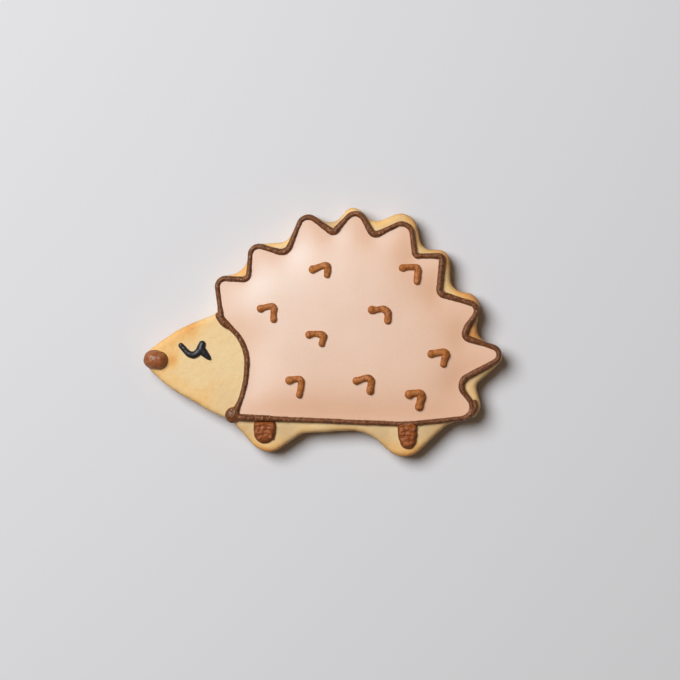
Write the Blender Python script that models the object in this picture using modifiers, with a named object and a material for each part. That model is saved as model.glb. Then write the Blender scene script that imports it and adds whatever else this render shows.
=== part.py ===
"""Iced sugar cookie: a flat rolled biscuit cut as a plump side-on animal with a
spiky back, seven spines, a pointed snout and two short legs.  Royal icing lies
on its top face: one flooded coat, a piped bead round it, a nose, an eye, two
toe caps and nine small hooked quill marks.

Units: metres, +Z up.  The biscuit lies on its flat underside at Z = 0 and the
whole is centred on X = Y = 0, the snout towards -X and the tail towards +X.
"""
import bpy
import bmesh
import math
from mathutils import Matrix, Vector

for ob in list(bpy.data.objects):
    bpy.data.objects.remove(ob, do_unlink=True)

MM = 0.001

# ---- heights, mm -----------------------------------------------------------
BISCUIT_T = 6.2          # rolled dough, baked
RIM_ROUND = 1.5          # rounding of the cut rim, top and bottom
SEAM = 0.3               # clearance between two pieces that touch
ICING_Z = BISCUIT_T + SEAM
FLOOD_T = 1.4            # flooded coat
FLOOD_ROUND = 0.65       # its rounded edge
BEAD_HALF = 0.66         # piped outline: half width and height
BEAD_T = 1.15
QUILL_Z = ICING_Z + FLOOD_T + SEAM
QUILL_T = 0.95
SHIFT = (0.005, -0.088)    # brings the whole to the middle

# ---- outlines, mm: corner x, corner y, radius of the rounded corner ----------
BISCUIT = [
    (-46.6, -6.3, 3.3), (-36.8, 0.5, 16.2), (-33.6, 2.1, 14.3),      # snout, brow
    (-26.2, 5.0, 1.8), (-27.4, 13.7, 2.3), (-19.6, 15.2, 5.3),       # spine 1
    (-18.3, 22.2, 1.9), (-9.0, 22.7, 3.0),                           # spine 2
    (-5.0, 30.6, 2.6), (2.3, 26.8, 3.5),                             # spine 3
    (7.8, 32.8, 2.7), (12.2, 27.0, 3.6),                             # spine 4
    (22.5, 31.8, 4.4), (24.7, 20.7, 3.2),                            # spine 5
    (31.6, 20.7, 2.9), (31.8, 10.8, 3.6),                            # spine 6
    (39.8, 9.2, 4.0), (38.0, -0.7, 4.2),                             # spine 7
    (46.3, -5.6, 2.2), (38.2, -13.2, 2.1),                           # tail
    (40.0, -20.8, 3.2), (31.3, -22.8, 6.7),                          # rump
    (20.3, -33.2, 5.6), (10.5, -24.3, 10.5),                         # hind leg
    (-5.3, -25.3, 3.1), (-14.6, -31.5, 5.0),                         # fore leg
    (-23.1, -22.0, 9.1), (-27.5, -20.3, 5.6), (-39.6, -13.2, 16.2),  # chin
]
COAT = [
    (-26.7, 13.5, 2.1), (-18.6, 13.1, 1.5), (-17.9, 22.0, 2.3),
    (-9.1, 19.5, 2.3), (-4.7, 30.0, 2.4), (2.7, 24.8, 0.9),
    (8.5, 31.1, 2.5), (12.7, 24.0, 1.5), (21.9, 28.4, 2.7),
    (23.1, 19.0, 1.0), (30.0, 19.0, 0.9), (29.1, 9.6, 1.5),
    (39.7, 6.4, 2.0), (36.1, 1.2, 0.9), (35.2, -1.3, 2.5),
    (47.1, -5.3, 2.0), (33.4, -12.7, 2.5), (40.0, -21.2, 3.4),
    (20.9, -23.1, 43.2), (-22.5, -21.6, 0.9), (-19.4, -14.2, 21.9),
    (-18.7, -3.5, 12.2), (-25.4, 3.5, 1.4),
]

# ---- quill marks, mm: start, corner, end and half width ----------------------
QUILLS = [
    ((-2.45, 15.65), (1.15, 16.35), (1.05, 14.30), 0.90),
    ((19.95, 15.98), (23.65, 16.03), (23.55, 12.53), 0.93),
    ((-15.50, 5.78), (-12.35, 6.28), (-12.28, 3.10), 0.86),
    ((12.45, 5.53), (15.90, 5.35), (16.15, 2.90), 0.92),
    ((-3.35, -0.73), (0.00, -0.80), (-0.28, -2.95), 0.88),
    ((27.08, -5.45), (30.60, -5.25), (30.15, -8.00), 0.94),
    ((-8.43, -12.15), (-5.55, -12.05), (-5.93, -15.70), 0.88),
    ((8.45, -12.15), (11.95, -11.75), (11.85, -14.75), 0.94),
    ((21.68, -15.68), (24.48, -15.70), (24.00, -18.85), 1.02),
]

main = bpy.data.collections.new("iced_sugar_cookie")
guides = bpy.data.collections.new("guides")
for c in (main, guides):
    bpy.context.scene.collection.children.link(c)


# ---- materials ---------------------------------------------------------------
def principled(name, rgb, roughness, coat=0.0):
    mat = bpy.data.materials.new(name)
    mat.use_nodes = True
    bsdf = mat.node_tree.nodes["Principled BSDF"]
    bsdf.inputs["Base Color"].default_value = (*rgb, 1.0)
    bsdf.inputs["Roughness"].default_value = roughness
    bsdf.inputs["Metallic"].default_value = 0.0
    bsdf.inputs["Coat Weight"].default_value = coat
    mat.diffuse_color = (*rgb, 1.0)
    return mat


# ---- plane geometry ------------------------------------------------------------
def arc_path(corners, closed=True, turn=20.0, longest=6.0):
    """Straight runs joined by tangent arcs, one point every `turn` degrees."""
    n = len(corners)
    pts = []
    for i, (x, y, r) in enumerate(corners):
        p = Vector((x, y))
        if not closed and i in (0, n - 1):
            pts.append(p)
            continue
        a = Vector(corners[i - 1][:2]) - p
        b = Vector(corners[(i + 1) % n][:2]) - p
        half = a.angle(b) / 2
        t = min(r / math.tan(half), 0.495 * a.length, 0.495 * b.length)
        r = t * math.tan(half)
        a.normalize()
        b.normalize()
        centre = p + (a + b).normalized() * (r / math.sin(half))
        start, end = p + a * t - centre, p + b * t - centre
        sweep = start.angle_signed(end)          # clockwise positive
        k = max(2, math.ceil(abs(math.degrees(sweep)) / turn))
        for j in range(k + 1):
            v = start.copy()
            v.rotate(Matrix.Rotation(-sweep * j / k, 2))
            pts.append(centre + v)
    out = []
    m = len(pts)
    for i in range(m if closed else m - 1):      # split the long runs
        a, b = pts[i], pts[(i + 1) % m]
        if (b - a).length < 0.05:
            continue
        k = max(1, math.ceil((b - a).length / longest))
        out += [a.lerp(b, j / k) for j in range(k)]
    if not closed:
        out.append(pts[-1])
    return out


def inset_corners(corners, d):
    """The same outline moved in by d: each side slides, each radius follows."""
    n = len(corners)
    area = sum(corners[i - 1][0] * corners[i][1] - corners[i][0] * corners[i - 1][1]
               for i in range(n))
    side = 1.0 if area > 0 else -1.0
    out = []
    for i in range(n):
        p = Vector(corners[i][:2])
        u = (p - Vector(corners[i - 1][:2])).normalized()
        v = (Vector(corners[(i + 1) % n][:2]) - p).normalized()
        nu = Vector((-u.y, u.x)) * side
        nv = Vector((-v.y, v.x)) * side
        q = p + (nu + nv) * (d / (1.0 + nu.dot(nv)))
        convex = (u.x * v.y - u.y * v.x) * side > 0
        out.append((q.x, q.y, max(0.9, corners[i][2] + (-d if convex else d))))
    return out


# ---- solids -----------------------------------------------------------------------
def adopt(ob, name, mat, where=main):
    ob.name = name
    ob.data.name = name
    for c in list(ob.users_collection):
        c.objects.unlink(ob)
    where.objects.link(ob)
    if where is guides:
        ob.hide_render = True
        ob.display_type = 'WIRE'
    elif mat is not None:
        ob.data.materials.clear()
        ob.data.materials.append(mat)
    return ob


def curve_object(name, pts, closed, z, radii=None):
    data = bpy.data.curves.new(name, 'CURVE')
    sp = data.splines.new('POLY')
    sp.points.add(len(pts) - 1)
    for i, p in enumerate(pts):
        sp.points[i].co = ((p[0] + SHIFT[0]) * MM, (p[1] + SHIFT[1]) * MM, 0.0, 1.0)
        sp.points[i].radius = 1.0 if radii is None else radii[i]
    sp.use_cyclic_u = closed
    ob = bpy.data.objects.new(name, data)
    ob.location.z = z * MM
    bpy.context.scene.collection.objects.link(ob)
    return ob


def to_mesh(ob, name, flat_caps=False):
    """Weld a curve's evaluated shape into a mesh object and drop the curve."""
    bpy.context.view_layer.update()
    deps = bpy.context.evaluated_depsgraph_get()
    me = bpy.data.meshes.new_from_object(ob.evaluated_get(deps))
    bm = bmesh.new()
    bm.from_mesh(me)
    bmesh.ops.remove_doubles(bm, verts=bm.verts, dist=1e-6)
    if flat_caps:
        bmesh.ops.dissolve_limit(bm, angle_limit=math.radians(0.5),
                                 verts=bm.verts, edges=bm.edges)
    bmesh.ops.recalc_face_normals(bm, faces=bm.faces)
    bm.to_mesh(me)
    bm.free()
    new = bpy.data.objects.new(name, me)
    new.matrix_world = ob.matrix_world
    bpy.context.scene.collection.objects.link(new)
    bpy.data.objects.remove(ob, do_unlink=True)
    return new


def slab(name, pts, z0, thick, round_by, segments, mat):
    """A flat outline with its thickness and softly rounded rims."""
    ob = curve_object(name + "_outline", pts, True, z0 + thick / 2)
    ob.data.dimensions = '2D'
    ob.data.fill_mode = 'BOTH'
    ob.data.extrude = thick / 2 * MM
    ob = to_mesh(ob, name, flat_caps=True)
    bev = ob.modifiers.new("rim", 'BEVEL')
    bev.width = round_by * MM
    bev.segments = segments
    bev.limit_method = 'ANGLE'
    bev.angle_limit = math.radians(60)
    bev.use_clamp_overlap = False
    bev.loop_slide = False
    return adopt(ob, name, mat)


def bead_profile(name, half, height, sides=6):
    """Cross-section of piped icing: a low arch on a flat foot."""
    data = bpy.data.curves.new(name, 'CURVE')
    sp = data.splines.new('POLY')
    sp.points.add(sides)
    for k in range(sides + 1):
        a = math.pi * k / sides
        sp.points[k].co = (half * math.cos(a) * MM, height * math.sin(a) * MM, 0, 1)
    sp.use_cyclic_u = True
    ob = bpy.data.objects.new(name, data)
    bpy.context.scene.collection.objects.link(ob)
    return adopt(ob, name, None, guides)


def piped(name, pts, z, profile, closed=False, radii=None):
    ob = curve_object(name + "_path", pts, closed, z, radii)
    ob.data.dimensions = '3D'
    ob.data.twist_mode = 'Z_UP'
    ob.data.bevel_mode = 'OBJECT'
    ob.data.bevel_object = profile
    ob.data.use_fill_caps = not closed
    return to_mesh(ob, name)


def stroke(corners, head, tail, reach, turn=25.0):
    """A short piped mark: path points and bead sizes, with domed ends.
    `corners` runs between the middles of the two round ends, `reach` is the
    bead's half width, and `head` and `tail` scale it at the two ends."""
    pts = arc_path(corners, closed=False, turn=turn, longest=1.2)
    run = [0.0]
    for a, b in zip(pts, pts[1:]):
        run.append(run[-1] + (b - a).length)
    back = (pts[0] - pts[1]).normalized() * reach * head
    on = (pts[-1] - pts[-2]).normalized() * reach * tail
    cap = [(math.cos(math.radians(t)), math.sin(math.radians(t))) for t in (12, 38, 66)]
    out = [pts[0] + back * c for c, s in cap]
    radii = [head * s for c, s in cap]
    for p, s in zip(pts, run):
        out.append(p)
        radii.append(head + (tail - head) * s / run[-1])
    out += [pts[-1] + on * c for c, s in reversed(cap)]
    radii += [tail * s for c, s in reversed(cap)]
    return out, radii


def dome(name, x, y, z, rx, ry, height, turn_deg=0.0, bumps=0.0, count=5,
         segments=20, rings=12, belly=0.0):
    """A soft blob of icing standing on a flat foot."""
    bm = bmesh.new()
    bmesh.ops.create_uvsphere(bm, u_segments=segments, v_segments=rings, radius=1.0)
    bmesh.ops.bisect_plane(bm, geom=bm.verts[:] + bm.edges[:] + bm.faces[:],
                           plane_co=(0, 0, -0.35), plane_no=(0, 0, -1),
                           clear_outer=True)
    bmesh.ops.holes_fill(bm, edges=[e for e in bm.edges if e.is_boundary])
    for v in bm.verts:
        a = math.atan2(v.co.y, v.co.x)
        wave = 1.0 + bumps * math.sin(count * a + 3.0 * v.co.z) * math.hypot(v.co.x, v.co.y)
        wave += belly * v.co.y
        v.co.x *= rx * wave
        v.co.y *= ry * (1.0 + bumps * math.cos((count - 2) * a))
        v.co.z = (v.co.z + 0.35) / 1.35 * height
        c, s = math.cos(math.radians(turn_deg)), math.sin(math.radians(turn_deg))
        v.co.x, v.co.y = v.co.x * c - v.co.y * s, v.co.x * s + v.co.y * c
        v.co *= MM
    bmesh.ops.recalc_face_normals(bm, faces=bm.faces)
    me = bpy.data.meshes.new(name)
    bm.to_mesh(me)
    bm.free()
    ob = bpy.data.objects.new(name, me)
    ob.location = ((x + SHIFT[0]) * MM, (y + SHIFT[1]) * MM, z * MM)
    bpy.context.scene.collection.objects.link(ob)
    return ob


def join(ob, others, name, mat):
    """One body from pieces that have run together."""
    for i, other in enumerate(others):
        adopt(other, f"{name}_lump_{i + 1}", None, guides)
        mod = ob.modifiers.new(f"run_in_{i + 1}", 'BOOLEAN')
        mod.operation = 'UNION'
        mod.solver = 'EXACT'
        mod.object = other
    return adopt(ob, name, mat)


# ---- the biscuit and its flooded coat ----------------------------------------------
slab("biscuit", arc_path(BISCUIT, turn=18.0, longest=12.0), 0.0, BISCUIT_T,
     RIM_ROUND, 3, principled("baked_dough", (0.76, 0.55, 0.29), 0.82))

coat_edge = inset_corners(COAT, BEAD_HALF * 1.12 + SEAM)
slab("icing_flood", arc_path(coat_edge, turn=26.0, longest=12.0), ICING_Z, FLOOD_T,
     FLOOD_ROUND, 3, principled("flood_icing", (0.80, 0.58, 0.44), 0.38))

# ---- the piped outline: thicker in the valleys, and where strokes meet ---------------
choc = principled("outline_icing", (0.19, 0.085, 0.037), 0.42)
bead = bead_profile("outline_bead", BEAD_HALF, BEAD_T)
edge = arc_path(COAT, turn=26.0, longest=8.0)
LUMPS = [(-25.4, 3.0, 1.6, 0.12), (-22.4, -20.9, 2.2, 0.10), (35.8, -20.0, 2.4, 0.08)]


def bead_size(p):
    g = 1.0 + 0.05 * math.sin(0.55 * p.x + 0.3) * math.cos(0.4 * p.y)
    for x, y, reach, extra in LUMPS:
        g += extra * math.exp(-((p.x - x) ** 2 + (p.y - y) ** 2) / (reach * reach))
    return min(g, 1.12)


ring = piped("icing_outline", edge, ICING_Z, bead, closed=True,
             radii=[bead_size(p) for p in edge])
corner_blob = dome("corner_blob", -22.6, -20.85, ICING_Z, 1.95, 1.9, 1.32)
tail_pts, tail_r = stroke([(38.6, -18.0, 0), (37.9, -18.9, 1.0), (36.6, -20.6, 0)], 0.85, 0.95,
                         BEAD_HALF)
stub = piped("stub", tail_pts, ICING_Z, bead, radii=tail_r)
join(ring, [corner_blob, stub], "icing_outline", choc)

# ---- nose, eye and toe caps -----------------------------------------------------------
nose = dome("nose", -42.0, -7.0, ICING_Z, 2.9, 2.4, 2.1, turn_deg=-12, segments=20, rings=12)
adopt(nose, "nose", principled("nose_icing", (0.27, 0.11, 0.048), 0.45))

EYE_HALF = 0.70
eye_bead = bead_profile("eye_bead", EYE_HALF, 0.9)
pts, rr = stroke([(-35.4, -3.5, 0), (-34.1, -5.1, 2.5), (-32.4, -6.0, 2.0),
                  (-30.7, -4.9, 2.2), (-30.1, -3.1, 0)], 0.60, 1.20, EYE_HALF)
arc = piped("eye", pts, ICING_Z, eye_bead, radii=rr)
pts, rr = stroke([(-30.2, -4.3, 0), (-29.3, -5.3, 3.0), (-28.3, -6.6, 0)], 1.25, 0.45,
                 EYE_HALF)
lash = piped("lash", pts, ICING_Z, eye_bead, radii=rr)
join(arc, [lash], "eye", principled("eye_icing", (0.012, 0.010, 0.012), 0.22, coat=0.4))

toe = principled("toe_icing", (0.22, 0.075, 0.024), 0.55)
adopt(dome("foot_front", -14.6, -25.6, ICING_Z, 2.75, 2.3, 1.5, bumps=0.05, count=5,
           segments=20, rings=12),
      "foot_front", toe)
adopt(dome("foot_hind", 21.1, -26.65, ICING_Z, 2.05, 2.55, 1.5, bumps=0.04, count=5,
           segments=20, rings=12, belly=0.16), "foot_hind", toe)

# ---- quill marks ------------------------------------------------------------------------
caramel = principled("quill_icing", (0.31, 0.115, 0.035), 0.4)
for i, (a, c, b, half) in enumerate(QUILLS):
    prof = bead_profile(f"quill_bead_{i + 1}", half, QUILL_T)
    mid = ((a[0] + c[0]) / 2, (a[1] + c[1]) / 2 + 0.18)
    pts, rr = stroke([(*a, 0), (*mid, 3.0), (*c, 1.10), (*b, 0)], 1.07, 0.93, half)
    q = piped(f"quill_{i + 1}", pts, QUILL_Z, prof, radii=rr)
    adopt(q, f"quill_{i + 1}", caramel)
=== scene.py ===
"""The looks of the iced sugar cookie: every piece is modelled as a smooth solid
from distance fields round named paths, in millimetres, and then meshed."""
import math
import bpy
import numpy as np
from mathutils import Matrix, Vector


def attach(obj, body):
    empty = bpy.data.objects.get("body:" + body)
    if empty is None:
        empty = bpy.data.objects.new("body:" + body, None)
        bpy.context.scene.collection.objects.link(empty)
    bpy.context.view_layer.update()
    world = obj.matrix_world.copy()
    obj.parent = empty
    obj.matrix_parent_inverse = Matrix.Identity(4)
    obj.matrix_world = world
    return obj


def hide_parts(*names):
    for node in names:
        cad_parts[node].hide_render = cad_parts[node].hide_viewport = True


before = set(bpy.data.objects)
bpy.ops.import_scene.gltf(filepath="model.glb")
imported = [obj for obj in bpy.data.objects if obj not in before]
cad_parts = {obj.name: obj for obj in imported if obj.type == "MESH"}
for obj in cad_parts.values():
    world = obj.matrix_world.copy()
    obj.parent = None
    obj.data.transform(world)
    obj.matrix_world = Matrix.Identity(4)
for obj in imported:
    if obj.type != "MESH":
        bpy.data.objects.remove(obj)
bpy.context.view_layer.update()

SHIFT = np.array([0.005, -0.088])        # the biscuit
ICING = np.array([-0.175, 0.052])        # the icing on it
TOP = 6.2                        # biscuit's face, mm

# ---- paths, mm: corner x, corner y, radius of the rounded corner ---------------
BISCUIT = [
    (-46.6, -6.3, 3.3), (-36.8, 0.5, 16.2), (-33.6, 2.1, 14.3),
    (-26.2, 5.0, 1.8), (-27.4, 13.7, 2.3), (-19.6, 15.2, 5.3),
    (-18.3, 22.2, 1.9), (-9.0, 22.7, 3.0), (-5.0, 30.6, 2.6), (2.3, 26.8, 3.5),
    (7.8, 32.8, 2.7), (12.2, 27.0, 3.6), (22.5, 31.8, 4.4), (24.7, 20.7, 3.2),
    (31.6, 20.7, 2.9), (31.8, 10.8, 3.6), (39.8, 9.2, 4.0), (38.0, -0.7, 4.2),
    (46.3, -5.6, 2.2), (38.2, -13.2, 2.1), (40.0, -20.8, 3.2), (31.3, -22.8, 6.7),
    (20.3, -33.2, 5.6), (10.5, -24.3, 10.5), (-5.3, -25.3, 3.1), (-14.6, -31.5, 5.0),
    (-23.1, -22.0, 9.1), (-27.5, -20.3, 5.6), (-39.6, -13.2, 16.2),
]
COAT = [
    (-26.7, 13.5, 2.1), (-18.6, 13.1, 1.5), (-17.95, 22.2, 2.3),
    (-9.1, 19.5, 2.3), (-4.7, 30.0, 2.4), (2.7, 24.8, 0.9),
    (8.6, 31.4, 2.5), (12.7, 24.0, 1.5), (21.9, 28.4, 2.7),
    (23.1, 19.0, 1.0), (30.0, 19.0, 0.9), (29.1, 9.6, 1.5),
    (39.7, 6.4, 2.0), (36.1, 1.2, 0.9), (35.2, -1.3, 2.5),
    (47.1, -5.3, 2.0), (33.4, -12.7, 2.5), (40.0, -21.2, 3.4),
    (20.9, -23.1, 43.2), (-22.5, -21.35, 0.9), (-19.4, -14.2, 21.9),
    (-18.7, -3.5, 12.2), (-25.4, 3.5, 1.4),
]
# the piped line's half width at places along it: x, y, half width
BEAD_AT = [
    (-26.2, 13.0, .66), (-22.6, 13.4, .66), (-19.0, 13.4, .72), (-18.3, 17.5, .56),
    (-17.0, 21.2, .66), (-13.5, 20.7, .66), (-9.4, 20.2, .80), (-6.9, 24.9, .58),
    (-4.2, 28.7, .68), (-1.0, 27.5, .66), (2.6, 25.2, .88), (5.6, 28.0, .58),
    (8.3, 29.8, .72), (10.5, 27.6, .70), (12.6, 24.6, .86), (17.1, 26.2, .60),
    (20.9, 26.8, .66), (22.4, 23.9, .64), (23.2, 19.4, .70), (26.4, 19.0, .62),
    (29.5, 18.8, .82), (29.5, 14.4, .76), (29.5, 10.0, .84), (34.4, 8.0, .66),
    (38.4, 6.1, .72), (38.0, 3.9, .64), (36.2, 1.5, .74), (35.4, -.9, .84),
    (41.0, -3.2, .60), (44.2, -5.4, .70), (40.2, -8.9, .64), (34.7, -13.1, .78),
    (36.7, -16.6, .60), (37.2, -20.0, .72), (30.5, -22.0, .58), (21.0, -23.0, .60),
    (-.7, -22.3, .60), (-8.0, -22.1, .62), (-13.0, -21.8, .74), (-18.0, -21.5, .84), (-21.6, -19.6, .90), (-20.8, -17.8, .62), (-19.8, -14.1, .64),
    (-19.0, -8.8, .66), (-19.7, -3.8, .66), (-21.8, -.1, .62), (-25.1, 3.5, .72), (-25.9, 8.5, .58),
]
# short strokes: x, y, half width at points from the start to the end
QUILLS = [
    [(-2.5, 15.6, .97), (-1.7, 15.9, .93), (-.6, 16.3, .84), (.4, 16.55, .88), (1.05, 16.3, .93), (1.2, 15.4, .90), (1.05, 14.2, .78)],
    [(19.9, 16.0, .88), (21.0, 16.15, .84), (22.4, 16.2, .84), (23.4, 16.05, .88), (23.75, 15.3, .86), (23.65, 14.0, .88), (23.5, 12.6, .84)],
    [(-15.5, 5.8, .92), (-14.6, 6.1, .84), (-13.6, 6.35, .80), (-12.7, 6.4, .84), (-12.2, 5.9, .84), (-12.3, 4.6, .78), (-12.3, 3.1, .84)],
    [(12.3, 5.5, 1.02), (13.4, 5.55, .84), (14.4, 5.7, .82), (15.3, 5.65, .88), (16.05, 5.0, .92), (16.25, 4.1, .90), (16.2, 2.8, .90)],
    [(-3.4, -.7, .93), (-2.4, -.5, .84), (-1.4, -.5, .82), (-.4, -.65, .90), (.15, -1.1, .90), (0.0, -2.0, .80), (-.3, -3.0, .76)],
    [(27.1, -5.5, .94), (28.2, -5.25, .92), (29.3, -5.1, .92), (30.3, -5.15, 1.0), (30.7, -5.8, .96), (30.4, -6.9, .86), (30.1, -8.1, .80)],
    [(-8.4, -12.1, .96), (-7.4, -11.85, .86), (-6.5, -11.75, .84), (-5.7, -11.9, .88), (-5.4, -12.6, .82), (-5.5, -14.0, .80), (-5.9, -15.8, .80)],
    [(8.4, -12.2, .92), (9.4, -11.9, .88), (10.5, -11.6, .90), (11.5, -11.6, .96), (12.1, -12.3, .90), (12.0, -13.4, .86), (11.8, -14.8, .92)],
    [(21.6, -15.6, 1.08), (22.5, -15.35, .96), (23.5, -15.25, .96), (24.4, -15.5, 1.06), (24.6, -16.4, 1.02), (24.4, -17.5, 1.0), (24.0, -18.8, .98)],
]
EYE_LID = [(-35.5, -3.35, .66), (-35.0, -3.9, .70), (-34.1, -4.95, .76), (-33.3, -5.55, .84),
           (-32.4, -5.75, .90), (-31.5, -5.35, .88), (-30.8, -4.5, .92), (-30.4, -3.7, .95), (-30.15, -3.1, .92)]
EYE_LASH = [(-30.35, -4.5, 1.15), (-29.7, -5.2, .98), (-29.0, -5.95, .80), (-28.55, -6.45, .60), (-28.2, -6.8, .34)]
TOE_FRONT = [(-14.5, -22.7, 2.76), (-14.55, -25.0, 2.78), (-14.6, -25.3, 2.62)]
TOE_HIND = [(21.15, -24.0, 2.46), (21.2, -26.1, 2.36), (21.3, -27.3, 2.02)]
COIL_FRONT = [(-16.5, -23.2, .52), (-14.6, -23.0, .56), (-12.7, -23.3, .54), (-12.5, -24.1, .52), (-14.4, -24.1, .58),
              (-16.3, -24.3, .54), (-16.3, -25.2, .52), (-14.5, -25.0, .56), (-12.9, -25.3, .54), (-13.2, -26.3, .52),
              (-14.6, -26.1, .56), (-15.9, -26.5, .50)]
COIL_HIND = [(19.5, -23.4, .50), (21.2, -23.2, .54), (22.8, -23.6, .52), (22.7, -24.5, .50), (21.0, -24.4, .56),
             (19.6, -24.8, .52), (19.8, -25.7, .50), (21.3, -25.4, .54), (22.5, -25.8, .50), (22.3, -26.8, .48),
             (21.0, -26.7, .54), (20.1, -27.5, .48), (21.4, -28.1, .50), (22.3, -27.8, .46)]


# ---- plane geometry ---------------------------------------------------------------
def resample(P, step, closed):
    Q = np.vstack([P, P[:1]]) if closed else P
    s = np.r_[0, np.cumsum(np.linalg.norm(np.diff(Q, axis=0), axis=1))]
    keep = np.r_[True, np.diff(s) > 1e-9]
    Q, s = Q[keep], s[keep]
    n = max(2, int(round(s[-1] / step)))
    t = np.linspace(0, s[-1], n, endpoint=False) if closed else np.linspace(0, s[-1], n + 1)
    return np.stack([np.interp(t, s, Q[:, k]) for k in range(Q.shape[1])], 1)


def rounded(corners, step, shift):
    C = np.array([c[:2] for c in corners], float) + shift
    pts = []
    for i, (_, _, r) in enumerate(corners):
        p = C[i]
        a, b = C[i - 1] - p, C[(i + 1) % len(C)] - p
        la, lb = np.linalg.norm(a), np.linalg.norm(b)
        ua, ub = a / la, b / lb
        half = math.acos(np.clip(ua @ ub, -1, 1)) / 2
        t = min(r / math.tan(half), .495 * la, .495 * lb)
        r = t * math.tan(half)
        bis = (ua + ub) / np.linalg.norm(ua + ub)
        c = p + bis * r / math.sin(half)
        a0 = math.atan2(*(p + ua * t - c)[::-1])
        a1 = math.atan2(*(p + ub * t - c)[::-1])
        d = (a1 - a0 + math.pi) % (2 * math.pi) - math.pi
        for th in a0 + d * np.linspace(0, 1, 24):
            pts.append(c + r * np.array([math.cos(th), math.sin(th)]))
    return resample(np.array(pts), step, True)


def soften(A, sigma, closed=True):
    """Gaussian smoothing along a path, sigma in samples."""
    k = int(3 * sigma) + 1
    w = np.exp(-.5 * (np.arange(-k, k + 1) / sigma) ** 2)
    w /= w.sum()
    pad = np.concatenate([A[-k:], A, A[:k]]) if closed else np.pad(
        A, [(k, k)] + [(0, 0)] * (A.ndim - 1), mode="edge")
    if A.ndim == 1:
        return np.convolve(pad, w, "valid")
    return np.stack([np.convolve(pad[:, j], w, "valid") for j in range(A.shape[1])], 1)


def stroke_path(nodes, step=.06):
    """Catmull-Rom through the nodes; columns x, y, half width."""
    K = np.array(nodes, float)
    K[:, :2] += ICING
    K = np.vstack([2 * K[0] - K[1], K, 2 * K[-1] - K[-2]])
    out = []
    for i in range(1, len(K) - 2):
        t = np.linspace(0, 1, 20, endpoint=False)[:, None]
        p0, p1, p2, p3 = K[i - 1:i + 3]
        out.append(.5 * (2 * p1 + (p2 - p0) * t + (2 * p0 - 5 * p1 + 4 * p2 - p3) * t ** 2
                         + (3 * p1 - p0 - 3 * p2 + p3) * t ** 3))
    out.append(K[-2][None])
    P = np.vstack(out)
    s = np.r_[0, np.cumsum(np.linalg.norm(np.diff(P[:, :2], axis=0), axis=1))]
    t = np.linspace(0, s[-1], max(4, int(s[-1] / step)))
    return np.stack([np.interp(t, s, P[:, k]) for k in range(3)], 1)


def near(P, xs, ys, closed, reach, block=40):
    """Distance from each grid point to a path, and where along it, within reach."""
    D = np.full((len(xs), len(ys)), reach * 1.0)
    S = np.zeros_like(D)
    A = P[:, :2]
    B = np.roll(A, -1, 0) if closed else A[1:]
    if not closed:
        A = A[:-1]
    for i in range(0, len(A), block):
        a, b = A[i:i + block], B[i:i + block]
        lo = np.minimum(a, b).min(0) - reach
        hi = np.maximum(a, b).max(0) + reach
        ix = np.nonzero((xs >= lo[0]) & (xs <= hi[0]))[0]
        iy = np.nonzero((ys >= lo[1]) & (ys <= hi[1]))[0]
        if not len(ix) or not len(iy):
            continue
        X, Y = np.meshgrid(xs[ix], ys[iy], indexing="ij")
        X, Y = X.ravel(), Y.ravel()
        e = b - a
        L = np.maximum((e ** 2).sum(1), 1e-12)
        for j0 in range(0, len(X), 20000):
            x, y = X[j0:j0 + 20000, None], Y[j0:j0 + 20000, None]
            t = np.clip(((x - a[:, 0]) * e[:, 0] + (y - a[:, 1]) * e[:, 1]) / L, 0, 1)
            d = np.hypot(x - a[:, 0] - t * e[:, 0], y - a[:, 1] - t * e[:, 1])
            k = d.argmin(1)
            r = np.arange(len(k))
            flat = np.ravel_multi_index((ix[(j0 + r) // len(iy)], iy[(j0 + r) % len(iy)]), D.shape)
            dm, sm = d[r, k], i + k + t[r, k]
            better = dm < D.ravel()[flat]
            D.ravel()[flat[better]] = dm[better]
            S.ravel()[flat[better]] = sm[better]
    return D, S


def inside(P, xs, ys):
    """True where a grid point lies in the closed path."""
    out = np.zeros((len(xs), len(ys)), bool)
    x1, y1 = P[:, 0], P[:, 1]
    x2, y2 = np.roll(x1, -1), np.roll(y1, -1)
    for j, y in enumerate(ys):
        hit = (y1 > y) != (y2 > y)
        cx = x1[hit] + (y - y1[hit]) * (x2[hit] - x1[hit]) / (y2[hit] - y1[hit])
        out[:, j] = (np.sort(cx)[None, :] < xs[:, None]).sum(1) % 2 == 1
    return out


def bil(A, xs, ys, x, y):
    u = np.clip((x - xs[0]) / (xs[1] - xs[0]), 0, len(xs) - 1.001)
    v = np.clip((y - ys[0]) / (ys[1] - ys[0]), 0, len(ys) - 1.001)
    i, j = u.astype(int), v.astype(int)
    u, v = u - i, v - j
    return (A[i, j] * (1 - u) * (1 - v) + A[i + 1, j] * u * (1 - v)
            + A[i, j + 1] * (1 - u) * v + A[i + 1, j + 1] * u * v)


# ---- noise ----------------------------------------------------------------------------
_r = np.random.RandomState(11)
_perm = np.tile(_r.permutation(256), 2)
_grad = _r.normal(size=(256, 3))
_grad /= np.linalg.norm(_grad, axis=1)[:, None]


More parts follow.
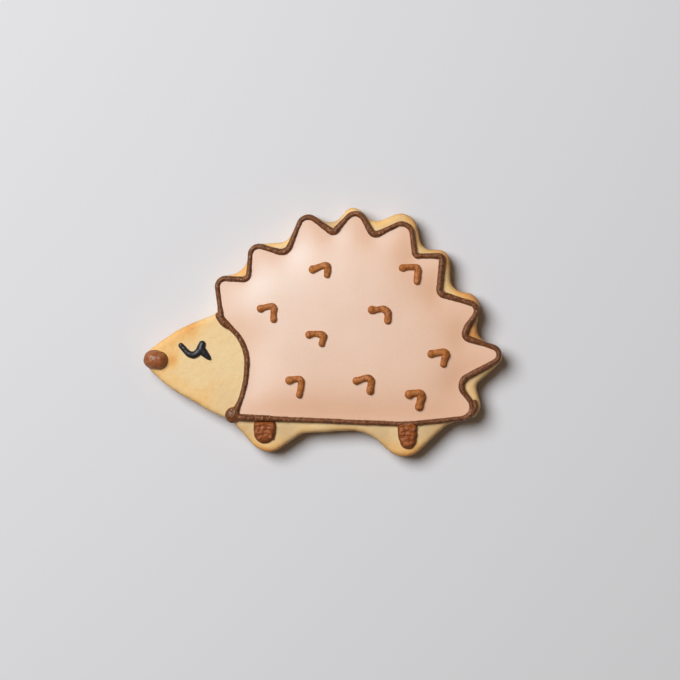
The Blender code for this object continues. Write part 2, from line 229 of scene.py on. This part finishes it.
def noise(p, size, seed=0):
    """Smooth gradient noise, about -1 to 1; size is the feature size in mm."""
    q = np.asarray(p, float) / size + 37.7 * (seed + 1)
    i = np.floor(q).astype(int)
    f = q - i
    u = f * f * f * (f * (f * 6 - 15) + 10)
    out = 0
    for dx in (0, 1):
        for dy in (0, 1):
            for dz in (0, 1):
                h = _perm[(_perm[(_perm[(i[..., 0] + dx) % 256] + i[..., 1] + dy) % 256]
                           + i[..., 2] + dz) % 256]
                g = _grad[h]
                w = ((u[..., 0] if dx else 1 - u[..., 0]) * (u[..., 1] if dy else 1 - u[..., 1])
                     * (u[..., 2] if dz else 1 - u[..., 2]))
                out = out + w * (g[..., 0] * (f[..., 0] - dx) + g[..., 1] * (f[..., 1] - dy)
                                 + g[..., 2] * (f[..., 2] - dz))
    return out * 1.8


# ---- from a field to a mesh -----------------------------------------------------------
def nets(F, org, h):
    """Surface Nets: one vertex for each cell that the surface crosses, one quad
    for each grid edge that it crosses.  F is negative inside."""
    F = F.copy()
    for axis in (0, 1, 2, 0, 1, 2):                    # a cell side with only two opposite corners inside
        G = np.moveaxis(F, axis, 0)                    # would join four faces on one edge: fill a third
        c = [G[:, :-1, :-1], G[:, 1:, :-1], G[:, 1:, 1:], G[:, :-1, 1:]]
        for p, q, r, s in ((0, 2, 1, 3), (1, 3, 0, 2)):
            m = (c[p] >= 0) & (c[q] >= 0) & (c[r] < 0) & (c[s] < 0)
            low = c[p] <= c[q]
            c[p][m & low] = -.01
            c[q][m & ~low] = -.01
    S = F < 0
    sl = (slice(0, -1), slice(1, None))
    cnt = sum(S[sl[a], sl[b], sl[c]].astype(np.int8) for a in (0, 1) for b in (0, 1) for c in (0, 1))
    act = (cnt > 0) & (cnt < 8)
    ids = np.argwhere(act)
    idx = np.full(act.shape, -1)
    idx[act] = np.arange(len(ids))
    acc = np.zeros((len(ids), 3))
    num = np.zeros(len(ids))
    i, j, k = ids.T
    for axis in range(3):
        for b in (0, 1):
            for c in (0, 1):
                o = [0, 0, 0]
                o[(axis + 1) % 3], o[(axis + 2) % 3] = b, c
                e = list(o)
                e[axis] = 1
                f0 = F[i + o[0], j + o[1], k + o[2]]
                f1 = F[i + e[0], j + e[1], k + e[2]]
                m = (f0 < 0) != (f1 < 0)
                t = f0[m] / (f0[m] - f1[m])
                p = np.tile(np.array(o, float), (m.sum(), 1))
                p[:, axis] = t
                acc[m] += p
                num[m] += 1
    V = ids + acc / num[:, None]
    quads = []
    for axis in range(3):
        a1, a2 = (axis + 1) % 3, (axis + 2) % 3
        lo = [slice(None)] * 3
        hi = [slice(None)] * 3
        lo[axis], hi[axis] = slice(0, -1), slice(1, None)
        A, B = S[tuple(lo)], S[tuple(hi)]
        E = np.argwhere(A != B)
        E = E[(E[:, a1] > 0) & (E[:, a2] > 0) & (E[:, a1] < F.shape[a1] - 1) & (E[:, a2] < F.shape[a2] - 1)]
        neg = A[tuple(E.T)]
        q = []
        for d1, d2 in ((-1, -1), (0, -1), (0, 0), (-1, 0)):
            c = E.copy()
            c[:, a1] += d1
            c[:, a2] += d2
            q.append(idx[tuple(c.T)])
        q = np.stack(q, 1)
        q[~neg] = q[~neg][:, ::-1]
        quads.append(q)
    Q = np.vstack(quads)

    def tri(P):
        P = np.clip(P, 0, np.array(F.shape) - 1.001)
        a = P.astype(int)
        f = P - a
        out = 0
        for dx in (0, 1):
            for dy in (0, 1):
                for dz in (0, 1):
                    w = ((f[:, 0] if dx else 1 - f[:, 0]) * (f[:, 1] if dy else 1 - f[:, 1])
                         * (f[:, 2] if dz else 1 - f[:, 2]))
                    out = out + w * F[a[:, 0] + dx, a[:, 1] + dy, a[:, 2] + dz]
        return out

    def slope(P, e=.5):
        g = np.empty_like(P)
        for ax in range(3):
            d = np.zeros(3)
            d[ax] = e
            g[:, ax] = (tri(P + d) - tri(P - d)) / (2 * e)
        return g

    for _ in range(2):
        g = slope(V)
        step = -tri(V)[:, None] * g / np.maximum((g ** 2).sum(1), 1e-9)[:, None]
        n = np.linalg.norm(step, axis=1)[:, None]
        V = V + step * np.minimum(1, .4 / np.maximum(n, 1e-9))
    V = np.clip(V, ids + .02, ids + .98)               # each stays in its own cell, so no two meet
    g = slope(V)
    N = g / np.maximum(np.linalg.norm(g, axis=1), 1e-9)[:, None]
    return V * h + np.array(org), N, Q


def make(name, V, Q, mat, attrs=None):
    me = bpy.data.meshes.new(name)
    me.vertices.add(len(V))
    me.vertices.foreach_set("co", (V * .001).astype(np.float32).ravel())
    me.loops.add(len(Q) * 4)
    me.loops.foreach_set("vertex_index", Q.astype(np.int32).ravel())
    me.polygons.add(len(Q))
    me.polygons.foreach_set("loop_start", np.arange(0, len(Q) * 4, 4, dtype=np.int32))
    me.update(calc_edges=True)
    me.validate()
    me.polygons.foreach_set("use_smooth", np.ones(len(me.polygons), bool))
    for key, val in (attrs or {}).items():
        at = me.attributes.new(key, "FLOAT", "POINT")
        at.data.foreach_set("value", np.asarray(val, np.float32))
    me.materials.append(mat)
    ob = bpy.data.objects.new(name, me)
    bpy.context.scene.collection.objects.link(ob)
    return ob


def grid(lo, hi, h):
    return tuple(np.arange(a, b + h, h) for a, b in zip(lo, hi))


def smin(a, b, k):
    t = np.clip(.5 + .5 * (b - a) / k, 0, 1)
    return b + (a - b) * t - k * t * (1 - t)


def arch(D, W, Z, zb, height, power=2.0, down=.6):
    """Field of a piped bead: an arch over the path, standing on height zb."""
    up = np.maximum(Z - zb, 0) / height
    f = ((np.abs(D / W) ** power + up ** power) ** (1 / power) - 1) * W
    return np.maximum(f, (zb - down) - Z)


# ---- materials ------------------------------------------------------------------------
def lin(rgb, k=1.0):
    out = []
    for v in rgb:
        v /= 255
        out.append(k * (v / 12.92 if v <= .04045 else ((v + .055) / 1.055) ** 2.4))
    return (*out, 1.0)


class Mat:
    def __init__(self, name, rough, spec=.5, coat=0., coat_rough=.3, sss=0., sss_scale=.001,
                 sss_radius=(1, .5, .3)):
        self.m = bpy.data.materials.new(name)
        self.m.use_nodes = True
        self.t = self.m.node_tree
        self.b = self.t.nodes["Principled BSDF"]
        i = self.b.inputs
        i["Roughness"].default_value = rough
        i["Specular IOR Level"].default_value = spec
        i["Coat Weight"].default_value = coat
        i["Coat Roughness"].default_value = coat_rough
        i["Subsurface Weight"].default_value = sss
        i["Subsurface Scale"].default_value = sss_scale
        i["Subsurface Radius"].default_value = sss_radius
        self.co = self.t.nodes.new("ShaderNodeTexCoord").outputs["Object"]

    def link(self, a, b):
        self.t.links.new(a, b)

    def noise(self, mm, detail=2., rough=.5, distort=0., offset=0.):
        n = self.t.nodes.new("ShaderNodeTexNoise")
        if offset:
            mp = self.t.nodes.new("ShaderNodeMapping")
            mp.inputs["Location"].default_value = (offset, offset * .7, -offset)
            self.link(self.co, mp.inputs["Vector"])
            self.link(mp.outputs["Vector"], n.inputs["Vector"])
        else:
            self.link(self.co, n.inputs["Vector"])
        n.inputs["Scale"].default_value = 1000. / mm
        n.inputs["Detail"].default_value = detail
        n.inputs["Roughness"].default_value = rough
        n.inputs["Distortion"].default_value = distort
        return n.outputs["Fac"]

    def attr(self, name):
        n = self.t.nodes.new("ShaderNodeAttribute")
        n.attribute_name = name
        return n.outputs["Fac"]

    def math(self, op, a, b=None, clamp=False):
        n = self.t.nodes.new("ShaderNodeMath")
        n.operation = op
        n.use_clamp = clamp
        for s, v in zip(n.inputs, (a, b)):
            if v is None:
                continue
            if isinstance(v, (int, float)):
                s.default_value = v
            else:
                self.link(v, s)
        return n.outputs[0]

    def remap(self, v, a, b, c=0., d=1.):
        n = self.t.nodes.new("ShaderNodeMapRange")
        n.clamp = True
        self.link(v, n.inputs["Value"])
        for key, x in zip(("From Min", "From Max", "To Min", "To Max"), (a, b, c, d)):
            n.inputs[key].default_value = x
        return n.outputs["Result"]

    def ramp(self, v, stops):
        n = self.t.nodes.new("ShaderNodeValToRGB")
        el = n.color_ramp.elements
        while len(el) < len(stops):
            el.new(.5)
        for e, (p, c) in zip(el, stops):
            e.position, e.color = p, c
        self.link(v, n.inputs["Fac"])
        return n.outputs["Color"]

    def mix(self, f, a, b):
        n = self.t.nodes.new("ShaderNodeMix")
        n.data_type = "RGBA"
        for s, v in ((n.inputs[0], f), (n.inputs[6], a), (n.inputs[7], b)):
            if isinstance(v, (int, float, tuple)):
                s.default_value = v
            else:
                self.link(v, s)
        return n.outputs[2]

    def color(self, c):
        self.link(c, self.b.inputs["Base Color"])

    def bump(self, *layers):
        """Layers of (height, millimetres)."""
        prev = None
        for v, mm in layers:
            n = self.t.nodes.new("ShaderNodeBump")
            n.inputs["Strength"].default_value = 1.
            n.inputs["Distance"].default_value = mm * .001
            self.link(v, n.inputs["Height"])
            if prev:
                self.link(prev, n.inputs["Normal"])
            prev = n.outputs["Normal"]
        self.link(prev, self.b.inputs["Normal"])


def dough():
    m = Mat("baked_dough", .72, spec=.3, sss=.10, sss_scale=.0012, sss_radius=(1., .6, .3))
    v = m.math("ADD", m.attr("bake"), m.remap(m.noise(4.5, 3.), .3, .7, -.10, .10))
    v = m.math("ADD", v, m.remap(m.noise(.9, 3., offset=.03), .3, .7, -.05, .05), clamp=True)
    c = m.ramp(v, [(0., lin((221, 198, 151))), (.28, lin((223, 193, 142))), (.5, lin((224, 182, 118))),
                   (.72, lin((217, 160, 90))), (1., lin((190, 124, 62)))])
    # painted shade: the dough darkened where the piped line's shadow falls and on the unlit lower and right bands
    c = m.mix(m.math("MULTIPLY", m.attr("painted_shade"), .75), c, lin((176, 146, 108)))
    pits = m.remap(m.noise(.55, 2., offset=.07), .30, .42, 1., 0.)
    c = m.mix(m.math("MULTIPLY", pits, .22), c, lin((196, 150, 92)))
    m.color(c)
    m.bump((m.noise(.8, 4., .6), .065), (m.noise(.22, 2., .6, offset=.02), .020))
    return m.m


def flood():
    m = Mat("flood_icing", .50, spec=1.0, coat=.15, coat_rough=.5, sss=.16, sss_scale=.0011, sss_radius=(1., .55, .35))
    m.b.inputs["IOR"].default_value = 1.62
    m.b.inputs["Specular Tint"].default_value = (.30, .80, 1., 1.)
    v = m.remap(m.noise(14., 2.), .35, .65)
    edge_painted_shade = m.mix(v, lin((226, 175, 137)), lin((229, 179, 143)))
    full = m.mix(v, lin((228, 187, 158)), lin((231, 191, 163)))
    c = m.mix(m.attr("thickness_painted_shade_and_sheen"), edge_painted_shade, full)              # painted shade: darker, pinker coat by the piped line, where its shadow falls; painted sheen: paler, bluer coat in the middle
    c = m.mix(m.remap(m.noise(.35, 2., offset=.04), .35, .65, 0., .25), c, lin((219, 166, 128)))
    m.color(c)
    m.bump((m.noise(2.6, 2., .5), .012), (m.noise(.3, 2., .6, offset=.02), .0035))
    return m.m


def choc(name, lo, hi, painted_glint, rough=.55, grain=.30, amt=.5, coat=0., spec=.28):
    m = Mat(name, rough, spec=spec, coat=coat)
    v = m.remap(m.noise(grain * 3, 3., .6), .32, .68)
    c = m.mix(v, lin(lo), lin(hi))
    # pale flecks: painted glints of sugar grains, scattered over the whole stroke
    s = m.remap(m.noise(grain, 2., .6, offset=.05), .60, .72)
    c = m.mix(m.math("MULTIPLY", s, amt), c, lin(painted_glint))
    m.color(c)
    m.bump((m.noise(grain * 2.2, 3., .6, offset=.01), .035), (m.noise(grain * .7, 2., .6, offset=.03), .014))
    return m


MAT_DOUGH = dough()
MAT_FLOOD = flood()
# the third colour of each icing is its painted glint
MAT_LINE = choc("outline_icing", (76, 38, 14), (120, 71, 38), (190, 148, 118), amt=.85, rough=.48, spec=.40, grain=.34).m
MAT_LINE.node_tree.nodes["Principled BSDF"].inputs["Specular Tint"].default_value = (1., .86, .70, 1.)
MAT_QUILL = choc("quill_icing", (130, 68, 20), (176, 108, 48), (212, 154, 100), amt=.55, spec=.36, grain=.34).m
MAT_NOSE = choc("nose_icing", (120, 65, 30), (154, 92, 50), (186, 132, 94), amt=.32, rough=.42, spec=.45).m


def toes():
    m = choc("toe_icing", (124, 62, 24), (150, 84, 38), (186, 126, 80), amt=.3, rough=.45)
    c = m.b.inputs["Base Color"].links[0].from_socket
    # painted shade: near-black brown down in the coil's creases
    m.color(m.mix(m.math("MULTIPLY", m.attr("crease_painted_shade"), .5), c, lin((62, 28, 12))))
    return m.m


def black():
    m = Mat("eye_icing", .40, spec=.42)
    m.color(m.mix(m.remap(m.noise(.5, 2.), .35, .65), lin((20, 18, 22)), lin((38, 36, 42))))
    m.bump((m.noise(.7, 2., .5), .03), (m.noise(.2, 2., .5, offset=.02), .006))
    return m.m


MAT_TOE = toes()
MAT_EYE = black()

# ---- the biscuit ------------------------------------------------------------------------
rim = rounded(BISCUIT, .25, SHIFT)
H = .36
bx, by, bz = grid((-46.2, -32.6, -.55), (46.2, 32.6, 7.2), H)
D, _ = near(rim, bx, by, True, 9.)
D = np.where(inside(rim, bx, by), D, -D)
XY = np.stack(np.meshgrid(bx, by, indexing="ij") + [np.zeros_like(D)], -1)
D = D + .10 * noise(XY, 3.2, 1) * np.exp(-np.abs(D) / 3)
face = TOP + .16 * (1 - np.exp(-np.maximum(D, 0) / 7)) + .05 * noise(XY, 9., 2)
R1, R2 = 1.05, .8
Z = bz[None, None, :]
Dz = D[:, :, None] - .16 * ((Z - 2.6) / 3.0) ** 2
a, b = R1 - Dz, Z - (face[:, :, None] - R1)
f1 = np.minimum(np.maximum(a, b), 0) + np.hypot(np.maximum(a, 0), np.maximum(b, 0)) - R1
a, b = R2 - Dz, R2 - Z
f2 = np.minimum(np.maximum(a, b), 0) + np.hypot(np.maximum(a, 0), np.maximum(b, 0)) - R2
V, N, Q = nets(np.maximum(f1, f2), (bx[0], by[0], bz[0]), H)
side = np.clip(1 - np.abs(N[:, 2]), 0, 1)
flat = np.clip(V[:, 2] / .8, 0, 1)                     # nothing moves at the underside
rough = .035 * noise(V, 1.5, 3) + (.03 + .05 * side) * noise(V, .8, 4) + .05 * side * noise(V, 2.6, 5)
V = V + N * (rough * flat)[:, None]
V[:, 2] = np.maximum(V[:, 2], 0)
din = bil(D, bx, by, V[:, 0], V[:, 1])


def spot(x, y, r, s=1.):
    return s * np.exp(-((V[:, 0] - x) ** 2 + (V[:, 1] - y) ** 2) / r ** 2)


edge = .42 - .22 * np.clip((-20 - V[:, 0]) / 6, 0, 1)    # the face baked paler at its rim
bake = (.12 + edge * np.exp(-np.maximum(din, 0) / 2.1) + spot(-43, -7.5, 5.5, .40) + spot(-33.5, .6, 3.4, .34)
        + spot(-37.5, -1.8, 3.2, .30) + spot(-37.8, -7, 1.7, .42) + spot(-36.5, -13, 3, .18) + spot(20.5, -31, 4.5, .30) + spot(-14.5, -30, 4.5, .28)
        + spot(22, 29, 5, .25) + spot(-29, -17.5, 5.5, .24)
        + spot(36.5, 8.5, 4, .45) + spot(37.5, -.5, 3, .50) + spot(30, 19.5, 3.5, .35)
        + spot(-20, 15.5, 3, .18) + spot(-29.5, 3, 3.5, .12))
low = np.clip((5.4 - V[:, 2]) / 4.5, 0, 1)
# painted shade: spots by the piped line, on the legs, chest, throat and right-hand valleys
painted_shade = np.clip(spot(-9.5, -24.6, 4.2, .7) + spot(27.5, -24.8, 5.5, .8) + spot(15., -26.5, 3.6, .45)
                + spot(4, -24.2, 6., .35) + spot(39.5, -12., 3.5, .5) + spot(37.5, 3., 3.5, .35)
                + spot(2., 27.5, 2.6, .8) + spot(21., 29., 4., .35)
                + spot(26.5, 20.5, 3., .4) + spot(31., 14., 4., .3) + spot(38.2, -20., 3., .4)
                + spot(-19.5, -24.2, 3.6, .65) + spot(-24, -17, 4., .25) + spot(13., -24.5, 4., .35), 0, 1)
foot = np.clip((3.4 - V[:, 2]) / 3.4, 0, 1)              # browner towards the tray
bake += (.06 * low + .34 * foot ** 1.5) * side + .05 * noise(V, 5., 6)
under = np.clip(-N[:, 2], 0, 1)
bake = np.where(under > .5, .62 + .12 * noise(V, 7., 7), bake)
cookie = make("cookie_dough", V, Q, MAT_DOUGH, {"bake": np.clip(bake, 0, 1), "painted_shade": painted_shade})
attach(cookie, "root")
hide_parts("biscuit")
FACE = np.where(D > 0, face - R1 + np.sqrt(np.maximum(R1 ** 2 - np.maximum(R1 - D, 0) ** 2, 0)), TOP - R1)


def ground(x, y):
    return bil(FACE, bx, by, x, y)


# ---- the flooded coat ---------------------------------------------------------------------
line = rounded(COAT, .1, ICING)
H = .30
cx, cy, cz = grid((-28.5, -24.8, 5.4), (46.2, 31.4, 9.6), H)
Dc, _ = near(line, cx, cy, True, 4.)
Dc = np.where(inside(line, cx, cy), Dc, -Dc)
LAM = 3.8                        # how fast the coat rises from its edge, mm
START = .35


def relax(edge, free, h, lam, laps=500):
    """Height of a thin film pinned at its edge: lam**2 * laplacian(u) = u - 1."""
    u = np.where(free, 1., edge)
    if min(u.shape) > 90:
        c = relax(edge[::3, ::3], free[::3, ::3], h * 3, lam)
        i, j = np.meshgrid(np.arange(u.shape[0]) / 3., np.arange(u.shape[1]) / 3., indexing="ij")
        u = np.where(free, bil(c, [0, 1] + [0] * (c.shape[0] - 2), [0, 1] + [0] * (c.shape[1] - 2), i, j), edge)
    k = (h / lam) ** 2
    for _ in range(laps):
        s = np.zeros_like(u)
        s[1:-1, 1:-1] = u[:-2, 1:-1] + u[2:, 1:-1] + u[1:-1, :-2] + u[1:-1, 2:]
        u = np.where(free, (s + k) / (4 + k), u)
    return u


free = Dc > .75
u = relax(np.where(Dc > 0, 1 - np.exp(-np.maximum(Dc - START, -.3) / LAM), 0), free, H, LAM)
v = relax(np.zeros_like(u), free, H, 22.)      # the doming of the whole
v /= v.max()
XY = np.stack(np.meshgrid(cx, cy, indexing="ij") + [np.zeros_like(Dc)], -1)
base = ground(XY[..., 0].ravel(), XY[..., 1].ravel()).reshape(Dc.shape)
# the coat's thickness, also the mask for its painted shade by the line and painted sheen in the middle
thickness_painted_shade_and_sheen = np.clip(u, 0, 1) ** 2.8
COAT_TOP = base + .55 + 1.12 * thickness_painted_shade_and_sheen + .54 * v + .035 * noise(XY, 11., 8) * u
Z = cz[None, None, :]
F = np.maximum(np.maximum(Z - COAT_TOP[:, :, None], (.25 - Dc)[:, :, None] + 0 * Z), (base - .3)[:, :, None] - Z)
V, N, Q = nets(F, (cx[0], cy[0], cz[0]), H)
coat = make("flood_coat", V, Q, MAT_FLOOD, {"thickness_painted_shade_and_sheen": bil(thickness_painted_shade_and_sheen, cx, cy, V[:, 0], V[:, 1])})
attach(coat, "root")
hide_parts("icing_flood")

# ---- the piped outline ----------------------------------------------------------------------
INWARD = 1. if np.sum(line[:, 0] * np.roll(line[:, 1], -1) - np.roll(line[:, 0], -1) * line[:, 1]) > 0 else -1.
K = np.array(BEAD_AT)
K[:, :2] += ICING
at = np.array([((line - q[:2]) ** 2).sum(1).argmin() for q in K])
order = at.argsort()
at, val = at[order], K[order, 2]
n = len(line)
W = np.interp(np.arange(n), np.r_[at[-1] - n, at, at[0] + n], np.r_[val[-1], val, val[0]])
W = soften(W, 9) * 1.10
P3 = np.c_[line, np.zeros(n)]
W = W * (1 + .06 * noise(P3, 1.4, 9) + .04 * noise(P3, 4., 10))
zline = soften(ground(line[:, 0], line[:, 1]), 12)
wander = soften(noise(P3, 5., 12), 4) * .05 + .05 * INWARD
T = np.roll(line, -1, 0) - np.roll(line, 1, 0)
T /= np.linalg.norm(T, axis=1)[:, None]
path = line + np.c_[-T[:, 1], T[:, 0]] * wander[:, None]
H = .15
lx, ly, lz = grid((-28.6, -24.6, 4.6), (46.2, 31.6, 8.4), H)
Dl, S = near(path, lx, ly, True, 2.2)
i = np.clip(S.astype(int), 0, n - 1)
Wl, Zl = W[i], zline[i]
hit = Dl < 2.1
Z = lz[None, None, :]
F = arch(Dl[:, :, None], Wl[:, :, None], Z, Zl[:, :, None], (Wl * 1.0 + .55)[:, :, None], 2.2)
F = np.where(hit[:, :, None], F, 1.)
Xg, Yg = np.meshgrid(lx, ly, indexing="ij")


def blob(F, x, y, rx, ry, height, k, turn=0.):
    x, y = x + ICING[0], y + ICING[1]
    z0 = float(ground(np.array([x]), np.array([y]))[0])
    c, s = math.cos(turn), math.sin(turn)
    ux, uy = (Xg - x) * c + (Yg - y) * s, -(Xg - x) * s + (Yg - y) * c
    d = np.hypot(ux / rx, uy / ry)[:, :, None]
    up = np.maximum(Z - z0, 0) / height
    g = np.maximum((np.sqrt(d ** 2 + up ** 2) - 1) * min(rx, ry), (z0 - .6) - Z)
    return smin(F, g, k)


def run_in(F, nodes, k):
    p = stroke_path(nodes)
    d, at_ = near(p, lx, ly, False, 2.5)
    w = np.interp(at_, np.arange(len(p)), p[:, 2])[:, :, None]
    z0 = float(ground(p[:, 0], p[:, 1]).mean())
    g = arch(d[:, :, None], w, Z, z0, w + .55, 2.2)
    return np.where((d < 2.4)[:, :, None], smin(F, g, k), F)


F = blob(F, -22.55, -20.8, 1.90, 2.0, 1.65, .35, -.3)       # throat
F = run_in(F, [(-26.1, 4.1, .80), (-25.6, 3.3, .88), (-24.8, 2.3, .90), (-23.9, 1.5, .80)], .10)
F = run_in(F, [(38.0, -17.5, .60), (38.15, -18.6, .62), (37.6, -20.0, .72), (36.6, -21.0, .80)], .10)
V, N, Q = nets(F, (lx[0], ly[0], lz[0]), H)
top = np.clip(N[:, 2] + .3, 0, 1)
V = V + N * ((.055 * noise(V, .9, 15) + .055 * noise(V, .5, 13) + .035 * noise(V, .32, 14)) * top)[:, None]
bead = make("outline_bead", V, Q, MAT_LINE)
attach(bead, "root")
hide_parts("icing_outline")


# ---- short strokes ----------------------------------------------------------------------------
def strokes(name, nodes, mat, base, height, h=.11, join=.15, down=.5, power=2.2, amp=.03, grain=.55,
            seed=20, cut=None):
    """Piped strokes run together: nodes is a list of strokes, base(x, y) is what they lie on."""
    paths = [stroke_path(s) for s in nodes]
    heights = height if isinstance(height, list) else [height] * len(paths)
    P = np.vstack(paths)
    m = P[:, 2].max() + .5
    lo, hi = P[:, :2].min(0) - m, P[:, :2].max(0) + m
    g = base(P[:, 0], P[:, 1])
    xs, ys, zs = grid((*lo, g.min() - down - .5), (*hi, g.max() + max(f(P[:, 2]).max() for f in heights) + .5), h)
    X, Y = np.meshgrid(xs, ys, indexing="ij")
    Zs = zs[None, None, :]
    zb = base(X.ravel(), Y.ravel()).reshape(X.shape)
    F = None
    for p, rise in zip(paths, heights):
        D, S = near(p, xs, ys, False, m + 1)
        w = np.interp(S, np.arange(len(p)), p[:, 2])
        z0 = np.interp(S, np.arange(len(p)), soften(base(p[:, 0], p[:, 1]), 6, False))
        f = arch(D[:, :, None], w[:, :, None], Zs, z0[:, :, None], rise(w)[:, :, None], power, down)
        F = f if F is None else smin(F, f, join)
    if cut is not None:
        t = cut(X, Y)[:, :, None]
        F = -smin(-F, -t - 0 * F, .5)
    V, N, Q = nets(F, (xs[0], ys[0], zs[0]), h)
    return V, N, Q


def coat_at(x, y):
    return bil(COAT_TOP, cx, cy, x, y)


SWELL = (1.08, .94, .96, 1.03, 1.08, 1.02, 1.03)           # a fuller start and a fuller bend
for q, nodes in enumerate(QUILLS):
    nodes = [(x, y, w * k) for (x, y, w), k in zip(nodes, SWELL)]
    V, N, Q = strokes(f"quill_{q + 1}", [nodes], MAT_QUILL, coat_at, lambda w: .28 + .72 * w, down=.35)
    top = np.clip(N[:, 2] + .4, 0, 1)
    V = V + N * ((.10 * noise(V, 1.05, 30 + q) + .045 * noise(V, .5, 40 + q)) * top)[:, None]
    ob = make(f"quill_mark_{q + 1}", V, Q, MAT_QUILL)
    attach(ob, "root")
    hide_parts(f"quill_{q + 1}")

V, N, Q = strokes("eye", [EYE_LID, EYE_LASH], MAT_EYE, ground, lambda w: .30 + .62 * w, join=.22)
V = V + N * (.05 * noise(V, 1.1, 50) + .02 * noise(V, .5, 51))[:, None]
ob = make("eye_stroke", V, Q, MAT_EYE)
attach(ob, "root")
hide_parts("eye")


def toe(name, node, dome, coil, seed, height):
    """A toe: a low dome of icing with a coil piped back and forth over it."""
    z1 = height + .18
    V, N, Q = strokes(name, [dome, coil], MAT_TOE, ground, [lambda w: height + 0 * w, lambda w: z1 + 0 * w],
                      h=.11, join=.34, down=.7, power=2.6, cut=lambda X, Y: Y + 22.45)
    p = V + .30 * np.stack([noise(V, 1.6, seed + s) for s in (0, 1, 2)], 1)
    top = np.clip(N[:, 2] + .7, 0, 1)
    V = V + N * ((.17 * noise(p, 1.15, seed + 3) + .07 * noise(V, .6, seed + 4)) * np.clip(N[:, 2] * 1.5, 0, 1))[:, None]
    # painted shade in the creases: how deep a point lies below the coil's top
    depth = ground(V[:, 0], V[:, 1]) + z1 - V[:, 2]
    crease_painted_shade = np.clip((depth - .12) / .42, 0, 1) * np.clip(N[:, 2] * 1.6, 0, 1)
    ob = make(name, V, Q, MAT_TOE, {"crease_painted_shade": crease_painted_shade})
    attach(ob, "root")
    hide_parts(node)


toe("toe_front", "foot_front", TOE_FRONT, COIL_FRONT, 60, 1.12)
toe("toe_hind", "foot_hind", TOE_HIND, COIL_HIND, 70, 1.10)

# ---- the nose: a dome that sags over the snout's tip ---------------------------------------------
NX, NY = -41.84 + ICING[0], -7.0 + ICING[1]
H = .15
xs, ys, zs = grid((NX - 3.8, NY - 3.4, 3.2), (NX + 3.8, NY + 3.4, 9.4), H)
X, Y, Zn = np.meshgrid(xs, ys, zs, indexing="ij")
c, s = math.cos(-.22), math.sin(-.22)
ux, uy = (X - NX) * c + (Y - NY) * s, -(X - NX) * s + (Y - NY) * c
r = (np.abs(ux / 3.02) ** 2.35 + np.abs(uy / 2.42) ** 2.35) ** (1 / 2.35)
zc = TOP - .05
hz = np.where(Zn > zc, 2.35, 1.5)
F = (np.sqrt(r ** 2 + ((Zn - zc) / hz) ** 2) - 1) * 2.2
V, N, Q = nets(F, (xs[0], ys[0], zs[0]), H)
V = V + N * (.13 * noise(V, 2.4, 80) + .06 * noise(V, 1.0, 81) + .02 * noise(V, .45, 82)
             + .24 * np.exp(-((V[:, 0] - NX - 1.75) ** 2 + (V[:, 1] - NY - .6) ** 2) / .9 ** 2))[:, None]
ob = make("nose_dome", V, Q, MAT_NOSE)
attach(ob, "root")
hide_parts("nose")

# ---- floor, light and camera ------------------------------------------------------------------------
bpy.ops.mesh.primitive_plane_add(size=6, location=(0, 0, -.00002))
floor = bpy.context.object
floor.name = "floor"
fm = bpy.data.materials.new("floor")
fm.use_nodes = True
fb = fm.node_tree.nodes["Principled BSDF"]
fb.inputs["Base Color"].default_value = lin((204, 205, 208))
fb.inputs["Roughness"].default_value = .8
fb.inputs["Specular IOR Level"].default_value = .2
floor.data.materials.append(fm)


def area(name, loc, size, watts, color=(1, 1, 1), aim=(0, 0, .006)):
    d = bpy.data.lights.new(name, "AREA")
    d.shape = "DISK"
    d.size = size
    d.energy = watts
    d.color = color
    o = bpy.data.objects.new(name, d)
    o.location = loc
    o.rotation_euler = (Vector(aim) - Vector(loc)).to_track_quat("-Z", "Y").to_euler()
    bpy.context.scene.collection.objects.link(o)
    return o


area("window", (-.455, .34, .88), .66, 14.2, (.975, .985, 1.))
world = bpy.data.worlds.new("studio")
world.use_nodes = True
bg = world.node_tree.nodes["Background"]
bg.inputs["Color"].default_value = (1., .74, .53, 1.)
bg.inputs["Strength"].default_value = .125
bpy.context.scene.world = world

CAM = .90
cd = bpy.data.cameras.new("camera")
cd.sensor_width = 36.
cd.lens = 36. * CAM / .170
cd.clip_start, cd.clip_end = .01, 20.
cam = bpy.data.objects.new("camera", cd)
cam.location = (.00413, -.001963, CAM + .007)
bpy.context.scene.collection.objects.link(cam)
bpy.context.scene.camera = cam
bpy.context.scene.view_settings.view_transform = "Standard"
bpy.context.scene.view_settings.look = "None"
